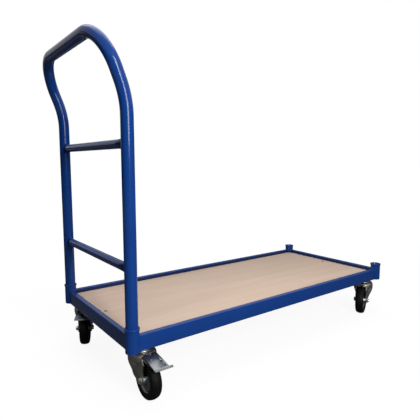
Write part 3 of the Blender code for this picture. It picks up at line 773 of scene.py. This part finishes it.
def make_rungs():
    """Round tubes whose ends are pressed into upright flats, welded to the legs."""
    end_y = POST_Y - TUBE + RUNG_END_DEPTH
    stations = 10
    shares = [1.0, 1.0]
    places = [-end_y, -(POST_Y - TUBE)]
    for i in range(1, stations + 1):
        share = 1 - i / stations
        shares.append(share * share * (3 - 2 * share))
        places.append(-(POST_Y - TUBE) + RUNG_FLAT * i / stations)
    shares += shares[::-1]
    places += [-place for place in reversed(places)]

    def half_sizes(share):
        return (RUNG_RADIUS + (RUNG_END_HALF_THICKNESS - RUNG_RADIUS) * share,
                RUNG_RADIUS + (RUNG_END_HALF_HEIGHT - RUNG_RADIUS) * share)

    rung = begin("rung", bpy.ops.mesh.primitive_circle_add, vertices=40, radius=1.0,
                 rotation=(math.pi / 2, 0, 0))
    thick, tall = half_sizes(shares[0])
    widen(thick, 1, tall)
    bpy.ops.transform.translate(value=(0, places[0], 0))
    for i in range(1, len(places)):
        next_thick, next_tall = half_sizes(shares[i])
        pull(0, places[i] - places[i - 1], 0)
        widen(next_thick / thick, 1, next_tall / tall, (0, places[i], 0))
        thick, tall = next_thick, next_tall
    bpy.ops.mesh.select_all(action="DESELECT")
    bpy.ops.mesh.select_non_manifold()
    bpy.ops.mesh.fill_holes(sides=0)
    outward()
    smooth(rung, 50)
    welds = []
    for side in (-1, 1):
        points = []
        for i in range(37):
            angle = 2 * math.pi * i / 36
            x = (RUNG_END_HALF_THICKNESS + 0.0004) * math.cos(angle)
            z = (RUNG_END_HALF_HEIGHT + 0.0004) * math.sin(angle)
            y = POST_Y - math.sqrt(TUBE ** 2 - x ** 2) - OVERLAP
            points.append((x, side * y, z))
        welds.append(bead("ring", points, RUNG_BEAD))
    welds = joined("rung_welds", welds)
    for node, height in RUNG_Z.items():
        place = Matrix.Translation((-POST_X, 0, height))
        fit(placed(rung, node + "_tube", place), BLUE, "handle", node)
        fit(placed(welds, node + "_welds", place), BLUE, "handle")
    discard(rung, welds)


# Castors, modelled round the swivel's axis with the trail along +X

def eased(share):
    """0 to 1 as a smooth step."""
    share = min(max(share, 0.0), 1.0)
    return share * share * (3 - 2 * share)


def fork_solid(name, inset):
    """The fork's outer shape, or with an inset its hollow: a round head over a drawn hood."""
    reach, side, leg = FORK_HEAD - inset, FORK_HEAD_SIDE - inset, FORK_LEG - inset
    lift = inset * 0.6
    edge = [(reach - 0.0110, inset), (reach - 0.0075, inset + 0.0006),
            (reach - 0.0035, inset + 0.0025), (reach - 0.0010, inset + 0.0055),
            (reach, inset + 0.0090), (reach, HOOD_SHOULDER - lift), (reach - 0.0008, 0.0180 - lift),
            (reach - 0.0040, 0.0203 - lift), (leg + 0.0040, 0.0232 - lift), (leg, 0.0250 - lift)]
    head = turned(name, [(radius, FORK_TOP - depth) for radius, depth in edge], 96)
    head.data.transform(Matrix.Diagonal((1, side / reach, 1, 1)))
    cut(head, fork_hood(name, inset, reach, side, leg), "UNION")
    return head


def fork_hood(name, inset, reach, side, leg):
    """Drawn down ring by ring: round in front, with flanks that step in to two flat legs behind."""
    near = 0.0001
    hood = begin(name, bpy.ops.mesh.primitive_circle_add, vertices=96, radius=reach - OVERLAP)
    pick(hood, lambda place: place.x > near)
    bpy.ops.mesh.delete(type="VERT")
    stops = [(FORK_FLANK - inset) * step / 4 for step in range(5)] + [HOOD_FRONT]
    for stop, next_stop in zip(stops, stops[1:]):
        pick(hood, lambda place: place.x > stop - near)
        pull(next_stop - stop, 0, 0)
    bpy.ops.mesh.select_all(action="SELECT")
    bpy.ops.transform.translate(value=(0, 0, FORK_TOP - HOOD_START - inset))
    widen(1, side / reach, 1)
    depths = [HOOD_START + inset, HOOD_SHOULDER]
    depths += [depth / 1000 for depth in range(21, 72, 5)] + [HOOD_END]
    halves = [side + (leg - side) * eased((depth - 0.0200) / 0.0500) for depth in depths]
    for i in range(1, len(depths)):
        pull(0, 0, depths[i - 1] - depths[i])
        widen(1, halves[i] / halves[i - 1], 1)
    for depth, half in zip(depths, halves):
        for step in range(1, 6):
            wanted = leg + (half - leg) * (1 - eased(step / 4))
            pick(hood, lambda place: abs(place.x - stops[step]) < near
                 and abs(place.z - FORK_TOP + depth) < near)
            widen(1, wanted / half, 1)
    for at_edge in (lambda place: place.z > FORK_TOP - HOOD_START - near - inset,
                    lambda place: place.z < FORK_TOP - HOOD_END + near,
                    lambda place: place.x > HOOD_FRONT - near):
        pick(hood, at_edge)
        bpy.ops.mesh.edge_face_add()
    outward()
    only(hood)
    return hood


def make_fork():
    """Pressed fork: the hollow solid, cut to its side outline and bored."""
    fork = fork_solid("fork", 0)
    cut(fork, fork_solid("hollow", FORK_SHEET))
    knee = FORK_TOP - 0.048
    side = [(-0.050, 0.010), (-0.050, knee + 0.002), (-0.0375, knee + 0.001), (-0.0345, knee),
            (-0.031, knee - 0.0035), (-0.023, knee - 0.0115), (-0.012, knee - 0.0185)]
    side += [(0, AXLE_Z - FORK_BOSS * 0.40), (0.012, AXLE_Z - FORK_BOSS * 0.62)]
    side += arc((TRAIL, AXLE_Z), FORK_BOSS, 235, 375, 20)
    side += [(0.0403, -0.0625), (0.0397, -0.0550), (0.0399, -0.0480), (0.0414, -0.0420),
             (0.0446, -0.0330), (0.0451, -0.0312), (0.0446, -0.0296), (0.0378, -0.0222),
             (0.0366, -0.0203), (0.0362, -0.0180), (0.0362, 0.010)]
    cut(fork, outline("side", side, 0.1), "INTERSECT")
    cut(fork, bar("pin_hole", KINGPIN_RADIUS + 0.0004, (0, 0, -0.02), (0, 0, 0.02)))
    cut(fork, bar("axle_hole", AXLE_RADIUS + 0.0002, (TRAIL, -0.05, AXLE_Z), (TRAIL, 0.05, AXLE_Z)))
    rounded(fork, FORK_EDGE, 2, 50)
    return smooth(fork, 35)


def make_race():
    """Two pressed ball-race cups with a rolled edge and a dust gap between them."""
    rim, neck, lower = RACE_RADIUS, RACE_NECK, LOWER_RACE_RADIUS
    profile = [(RACE_BORE, -0.0003), (rim - 0.0030, -0.0003), (rim - 0.0012, -0.0005),
               (rim - 0.0003, -0.0012), (rim, -0.0021), (rim, -0.0034), (rim - 0.0004, -0.0041),
               (rim - 0.0014, -0.0044), (neck + 0.0022, -0.0045), (neck + 0.0006, -0.0050),
               (neck, -0.0057), (neck + 0.0006, -0.0064), (lower - 0.0019, -0.0067),
               (lower - 0.0007, -0.0069), (lower - 0.0002, -0.0074), (lower, -0.0082),
               (lower, -0.0093), (RACE_BORE, -0.0093)]
    return turned("race", profile, 72, closed=True)


def hexagon(name, centre, radius, height, side):
    """A hexagon head or nut along an axis from its seat, chamfered on its outer face."""
    centre, side = Vector(centre), Vector(side)
    head = bar(name, radius, centre, centre + side * height, 6)
    ring = bar("ring", radius * 1.001, centre - side * 0.001, centre + side * height, 48)
    rounded(ring, 0.0008, 2, 60)
    cut(head, ring, "INTERSECT")
    return head


def make_kingpin():
    """Hexagon bolt through the corner plate and fork, with a nut and a thread end."""
    head = hexagon("head", (0, 0, 0.0043), KINGPIN_HEX, KINGPIN_HEAD, (0, 0, 1))
    shank = bar("shank", KINGPIN_RADIUS, (0, 0, -0.0193), (0, 0, 0.006), 32)
    nut = hexagon("nut", (0, 0, -0.0124), KINGPIN_HEX, KINGPIN_NUT, (0, 0, -1))
    rounded(shank, 0.0005)
    return smooth(joined("kingpin", [head, shank, nut]), 30)


def make_tyre():
    """Rubber tyre with a crowned tread, grooves at its shoulders and a lip over the rim."""
    half = TYRE_HALF
    r = WHEEL_RADIUS
    right = [(TYRE_SEAT, 0.0111), (0.0318, 0.0113), (0.0313, 0.0118), (0.0317, 0.0123),
             (0.0340, 0.0128), (TYRE_SEAT + 0.0026, half * 0.97),
             (r - 0.0088, half), (r - 0.0082, half - 0.0003), (r - 0.0076, half),
             (r - 0.0062, half - 0.0001), (r - 0.0045, half * 0.955), (r - 0.0036, half * 0.905),
             (r - 0.0033, half * 0.865), (r - 0.0026, half * 0.83), (r - 0.0017, half * 0.72),
             (r - 0.0012, half * 0.60), (r - 0.0009, half * 0.52), (r - 0.0013, half * 0.495),
             (r - 0.0013, half * 0.465), (r - 0.0006, half * 0.44), (r - 0.0002, half * 0.25),
             (r, half * 0.06)]
    left = [(radius, -place) for radius, place in reversed(right)]
    return turned("tyre", right + left, 96, closed=True)


def make_rim():
    """Two pressed discs back to back: a rolled edge, a raised ring, a dished web and the hub."""
    edge = TYRE_SEAT - 0.0003
    right = [(0.0081, HUB_HALF), (0.0106, HUB_HALF), (0.0110, HUB_HALF - 0.0005), (0.0110, 0.0092),
             (0.0117, 0.0080), (0.0130, 0.0070), (0.0150, 0.0062), (0.0180, 0.0054), (0.0215, 0.0049),
             (0.0240, 0.0050), (0.0256, 0.0060), (0.0270, 0.0066), (0.0284, 0.0064), (0.0298, 0.0056),
             (0.0312, 0.0053), (0.0326, 0.0060), (0.0336, 0.0076), (0.0342, 0.0094),
             (0.0350, 0.0106), (0.0360, 0.0109), (edge, 0.0104)]
    left = [(radius, -place) for radius, place in reversed(right)]
    rim = turned("rim", right + left, 96, closed=True)
    rivets = []
    shape = [(0.0026, -0.0064), (0.0026, 0.0059), (0.0020, 0.0066), (0.0008, 0.0069)]
    for i in range(RIVETS):
        angle = 2 * math.pi * (i + 0.3) / RIVETS
        x, y = RIVET_CIRCLE * math.cos(angle), RIVET_CIRCLE * math.sin(angle)
        rivet = turned("rivet", shape, 20)
        rivet.data.transform(Matrix.Translation((x, y, 0)))
        rivets.append(rivet)
    return smooth(joined("rim", [rim] + rivets), 40)


def make_bush():
    return turned("bush", [(0.0043, HUB_HALF), (0.0074, HUB_HALF), (0.0078, HUB_HALF - 0.0004),
                           (0.0078, 0.0004 - HUB_HALF), (0.0074, -HUB_HALF), (0.0043, -HUB_HALF)],
                  40, closed=True)


def make_axle_bolt():
    """Bolt head and washer on one side, thread end on the other."""
    head = hexagon("head", (0, -AXLE_SEAT - WASHER, 0), NUT_RADIUS, BOLT_HEAD, (0, -1, 0))
    washer = bar("washer", NUT_RADIUS, (0, -AXLE_SEAT, 0), (0, -AXLE_SEAT - WASHER - OVERLAP, 0), 40)
    rounded(washer, 0.0002)
    thread = bar("thread", AXLE_RADIUS, (0, -AXLE_SEAT - 0.002, 0), (0, AXLE_SEAT + BOLT_END, 0), 32)
    rounded(thread, 0.0007)
    return smooth(joined("axle_bolt", [head, washer, thread]), 30)


def make_axle_nut():
    """Lock nut with a ring bead round its bore, where the real nut's plastic insert sits, modelled in one
    piece with the nut.
    """
    nut = hexagon("nut", (0, AXLE_SEAT, 0), NUT_RADIUS, NUT_HEIGHT, (0, 1, 0))
    collar = bar("collar", NUT_COLLAR_RADIUS, (0, AXLE_SEAT, 0),
                 (0, AXLE_SEAT + NUT_COLLAR_HEIGHT, 0), 40)
    rounded(collar, 0.0009)
    cut(nut, collar, "UNION")
    cut(nut, bar("bore", AXLE_RADIUS + 0.0001, (0, 0, 0), (0, 0.05, 0)))
    return smooth(nut, 30)


def pedal_channel(pivot_drop):
    """The pressed channel: a plate with rounded bends on two skirts, cut to its side outline."""
    channel = begin("pedal", bpy.ops.mesh.primitive_plane_add, size=1)
    back = 0.010
    widen(PEDAL_TO - back, 2 * PEDAL_HALF, 1)
    bpy.ops.transform.translate(value=((PEDAL_TO + back) / 2, 0, 0))
    pick(channel, lambda middle, run: abs(run.x) > 0.01, "EDGE")
    pull(0, 0, -PEDAL_SKIRT)
    pick(channel, lambda middle, run: abs(run.x) > 0.01 and middle.z > -0.001, "EDGE")
    bpy.ops.mesh.bevel(offset=PEDAL_BEND, segments=5)
    only(channel)
    top = max(channel.data.polygons, key=lambda face: face.center.z)
    if top.normal.z < 0:
        channel.data.flip_normals()
    modify(channel, "SOLIDIFY", thickness=PEDAL_SHEET, offset=-1, use_even_offset=True)
    side = [(PEDAL_FROM, 0.010), (PEDAL_FROM, pivot_drop + 0.0075),
            (PEDAL_FROM - 0.003, pivot_drop + PEDAL_EYE)]
    side += arc((PIVOT_X, pivot_drop), PEDAL_EYE, 90, 290, 14)
    side += [(PEDAL_FROM + 0.012, -0.0128), (PEDAL_TO - 0.020, -0.0080),
             (PEDAL_TO - 0.006, -0.0062), (PEDAL_TO - 0.001, -0.0042), (PEDAL_TO, 0.010)]
    cut(channel, outline("side", side, 0.1), "INTERSECT")
    return channel


def add_pedal_plate(channel):
    """Widen the channel's top to a plate that flares to the left, with a hole and a slot."""
    top = slab("top", (PEDAL_FROM + 0.0020, -PLATE_LEFT, -0.0013),
               (PEDAL_TO - 0.0010, PLATE_RIGHT, 0.0001))
    bpy.ops.object.mode_set(mode="EDIT")
    pick(top, lambda place: place.x > PEDAL_TO - 0.002 and place.y < 0)
    bpy.ops.transform.translate(value=(0, -PLATE_FLARE, 0))
    cut(channel, top, "UNION")
    cut(channel, bar("hole", PEDAL_HOLE_RADIUS, (*PEDAL_HOLE, -0.02), (*PEDAL_HOLE, 0.02), 24))
    slot_from, slot_to = PEDAL_SLOT
    cut(channel, slab("slot", (*slot_from, -0.02), (*slot_to, 0.02)))
    rounded(channel, 0.0004, 2, 50)


def pedal_tread():
    """The folded strip along the pedal's front, dipped and rounded at its outer corners."""
    tread = slab("tread", (PEDAL_TO - TREAD_SET_BACK, -PLATE_LEFT - PLATE_FLARE, -0.0016),
                 (PEDAL_TO + TREAD_LENGTH, TREAD_RIGHT, -0.0003))
    bpy.ops.object.mode_set(mode="EDIT")
    pick(tread, lambda place: place.x > PEDAL_TO)
    bpy.ops.transform.translate(value=(0, 0, -0.0010))
    pick(tread, lambda middle, run: middle.x > PEDAL_TO and abs(run.z) > 0.001, "EDGE")
    bpy.ops.mesh.bevel(offset=0.0030, segments=4)
    only(tread)
    rounded(tread, 0.0005, 2, 50)
    return tread


def make_pedal():
    """Pressed brake pedal on its pin, with its plate, tread, two rivets and the shoe below."""
    pivot_drop = PIVOT_Z - PEDAL_TOP
    channel = pedal_channel(pivot_drop)
    add_pedal_plate(channel)
    tread = pedal_tread()
    rivet = turned("rivet", [(0.0034, -0.0030), (0.0034, 0.0004), (0.0030, 0.0012), (0.0020, 0.0017),
                             (0.0006, 0.0019)], 28)
    rivet.data.transform(Matrix.Translation((*PEDAL_RIVET, 0)))
    small = turned("rivet", [(0.0022, -0.0030), (0.0022, 0.0002), (0.0016, 0.0009),
                             (0.0005, 0.0011)], 24)
    small.data.transform(Matrix.Translation((PEDAL_FROM + 0.0035, 0, 0)))
    pin = bar("pin", PEDAL_PIN, (PIVOT_X, -PEDAL_PIN_HALF, pivot_drop),
              (PIVOT_X, PEDAL_PIN_HALF, pivot_drop), 24)
    shoe = slab("shoe", (0.058, -0.010, -0.0125), (0.074, 0.010, -PEDAL_SHEET - 0.0001))
    rounded(shoe, 0.0012, 3, 50)
    pedal = joined("pedal", [channel, tread, rivet, small, pin, shoe])
    drop = math.atan2(PEDAL_DROP, PEDAL_TO - PEDAL_FROM)
    tilt = Matrix.Translation((PEDAL_FROM, 0, PEDAL_TOP)) @ Matrix.Rotation(drop, 4, "Y")
    pedal.data.transform(tilt @ Matrix.Translation((-PEDAL_FROM, 0, 0)))
    return smooth(pedal, 35)


def make_castors():
    fork, race, kingpin = make_fork(), make_race(), make_kingpin()
    tyre, rim, bush = make_tyre(), make_rim(), make_bush()
    bolt, nut, pedal = make_axle_bolt(), make_axle_nut(), make_pedal()
    on_axle = Matrix.Translation((TRAIL, 0, AXLE_Z))
    wheel_place = on_axle @ Matrix.Rotation(math.pi / 2, 4, "X")
    for corner, (sign_x, sign_y) in CORNERS.items():
        fixed = Matrix.Translation((sign_x * CASTOR_X, sign_y * CASTOR_Y, RAIL_BOTTOM))
        swivel = fixed @ Matrix.Rotation(math.radians(HEADINGS_DEG[corner]), 4, "Z")
        fit(placed(race, corner + "_race_cups", fixed), BOLTS, "frame", corner + "_swivel_race")
        fit(placed(kingpin, corner + "_kingpin_bolt", fixed), BOLTS, "frame", corner + "_kingpin")
        turning = corner + "_swivel"
        fit(placed(fork, corner + "_fork_sheet", swivel), FORKS, turning, corner + "_fork")
        axle = swivel @ on_axle
        # This castor's bolt is put in from the other side
        if corner == "handle_far":
            axle = axle @ Matrix.Rotation(math.pi, 4, "Z")
        fit(placed(bolt, corner + "_axle", axle), BOLTS, turning, corner + "_axle_bolt")
        fit(placed(nut, corner + "_lock_nut", axle), BOLTS, turning, corner + "_axle_nut")
        rolling = corner + "_wheel"
        wheel = swivel @ wheel_place
        fit(placed(tyre, corner + "_rubber", wheel), RUBBER, rolling, corner + "_tyre")
        fit(placed(rim, corner + "_disc_rim", wheel), RIMS, rolling, corner + "_rim")
        fit(placed(bush, corner + "_bush", wheel), PLASTIC, rolling, corner + "_hub_bush")
        if sign_x < 0:
            fit(placed(pedal, corner + "_pedal", swivel), ZINC, corner + "_brake",
                corner + "_brake_pedal")
    discard(fork, race, kingpin, tyre, rim, bush, bolt, nut, pedal)


def finish_kept_nodes():
    """Leg plugs keep their CAD shape and take the moulded plastic."""
    for name in ("near_leg_plug", "far_leg_plug"):
        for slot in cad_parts[name].material_slots:
            slot.material = PLASTIC.material


# Studio

def add_camera():
    """The photograph's viewpoint."""
    yaw, pitch, roll = [math.radians(turn) for turn in
                        (CAMERA_YAW_DEG, CAMERA_PITCH_DEG, CAMERA_ROLL_DEG)]
    data = bpy.data.cameras.new("camera")
    data.sensor_width = CAMERA_SENSOR_MM
    data.lens = CAMERA_LENS_MM
    camera = bpy.data.objects.new("camera", data)
    bpy.context.scene.collection.objects.link(camera)
    camera.location = CAMERA_PLACE
    turn = Matrix.Rotation(-yaw, 4, "Z") @ Matrix.Rotation(math.pi / 2 + pitch, 4, "X")
    camera.rotation_euler = (turn @ Matrix.Rotation(roll, 4, "Z")).to_euler()
    bpy.context.scene.camera = camera


def add_light(name, place, target, width, height, watts):
    data = bpy.data.lights.new(name, "AREA")
    data.shape = "RECTANGLE"
    data.size = width
    data.size_y = height
    data.energy = watts
    light = bpy.data.objects.new(name, data)
    light.location = place
    aim = Vector(target) - Vector(place)
    light.rotation_euler = aim.to_track_quat("-Z", "Y").to_euler()
    bpy.context.scene.collection.objects.link(light)


def seen_directly(nodes, mirrored):
    """1 where the camera looks, less where a mirror or glass ray does, 0 for light on the cart."""
    camera, glossy, glass = [nodes.node("ShaderNodeLightPath", output=name)
                             for name in ("Is Camera Ray", "Is Glossy Ray", "Is Transmission Ray")]
    return nodes.maths("MAXIMUM", camera, nodes.maths("MAXIMUM", glossy, glass) * mirrored)


def add_floor():
    """A floor that shows white with a soft shadow; the paint mirrors it dark near and pale far off."""
    clear()
    bpy.ops.mesh.primitive_plane_add(size=FLOOR_SIZE, location=(0, 0, FLOOR_Z))
    floor = bpy.context.object
    floor.name = "floor"
    paper = Finish("floor_white", "floor", roughness=0.9)
    looked_at = paper.node("ShaderNodeLightPath", output="Is Camera Ray")
    lit, shown = colour(0.09, 0.09, 0.09), colour(0.30, 0.30, 0.30)
    paper.set(base_color=paper.mix(looked_at, lit, shown))
    far = paper.node("ShaderNodeVectorMath", {"operation": "LENGTH"}, {0: paper.place()}, "Value")
    glow = paper.node("ShaderNodeEmission", None, {
        "Color": colour(1, 1, 1), "Strength": paper.steps(far, 0.5, 3.0, 1.29, 1.40)})
    mixed = paper.node("ShaderNodeMixShader", None,
                       {0: seen_directly(paper, paper.steps(far, 2.2, 3.6, 0.01, 0.22)) * 0.72,
                        1: Socket(paper, paper.shader.outputs[0]), 2: glow})
    paper.feed(paper.tree.nodes["Material Output"].inputs["Surface"], mixed)
    floor.data.materials.append(paper.material)


def add_world():
    """White to look at, and a soft even grey light on the cart."""
    world = bpy.data.worlds.new("studio")
    bpy.context.scene.world = world
    world.use_nodes = True
    studio = Nodes(world.node_tree)
    background = studio.tree.nodes["Background"]
    background.inputs["Color"].default_value = colour(1, 1, 1)
    strength = seen_directly(studio, 0.65) * (1 - WORLD_LIGHT) + WORLD_LIGHT
    studio.feed(background.inputs["Strength"], strength)


def add_walls():
    """Dark walls that the camera doesn't see, with a gap on the far side above a low wall."""
    clear()
    bpy.ops.mesh.primitive_cylinder_add(vertices=WALL_SIDES, radius=WALL_RADIUS, depth=1.7,
                                        end_fill_type="NOTHING", location=(0, 0, 0.65))
    walls = bpy.context.object
    bpy.ops.object.mode_set(mode="EDIT")
    start, end = OPENING_DEG
    pick(walls, lambda middle, normal: start < math.degrees(math.atan2(middle.y, middle.x)) < end, "FACE")
    bpy.ops.mesh.delete(type="FACE")
    clear()
    bpy.ops.mesh.primitive_cylinder_add(vertices=WALL_SIDES, radius=WALL_RADIUS + 0.02, depth=0.8,
                                        end_fill_type="NOTHING", location=(0, 0, 0.20))
    walls = joined("studio_walls", [walls, bpy.context.object])
    cloth = Finish("studio_cloth", "floor", roughness=0.9, base_color=colour(0.03, 0.03, 0.035))
    walls.data.materials.append(cloth.material)
    walls.visible_camera = False


def add_studio():
    add_camera()
    add_world()
    add_floor()
    add_walls()
    add_light("key", (-0.50, -1.80, 0.95), (-0.30, 0, 0.10), 0.5, 0.9, 31)
    add_light("top", (0.1, 0.5, 2.6), (0, 0.1, 0), 2.8, 2.4, 39)
    bpy.context.scene.view_settings.view_transform = "Standard"


make_rails()
make_sockets()
make_corner_welds()
make_deck()
make_deck_screws()
make_underside()
make_handle_bow()
make_rungs()
make_castors()
finish_kept_nodes()
add_studio()
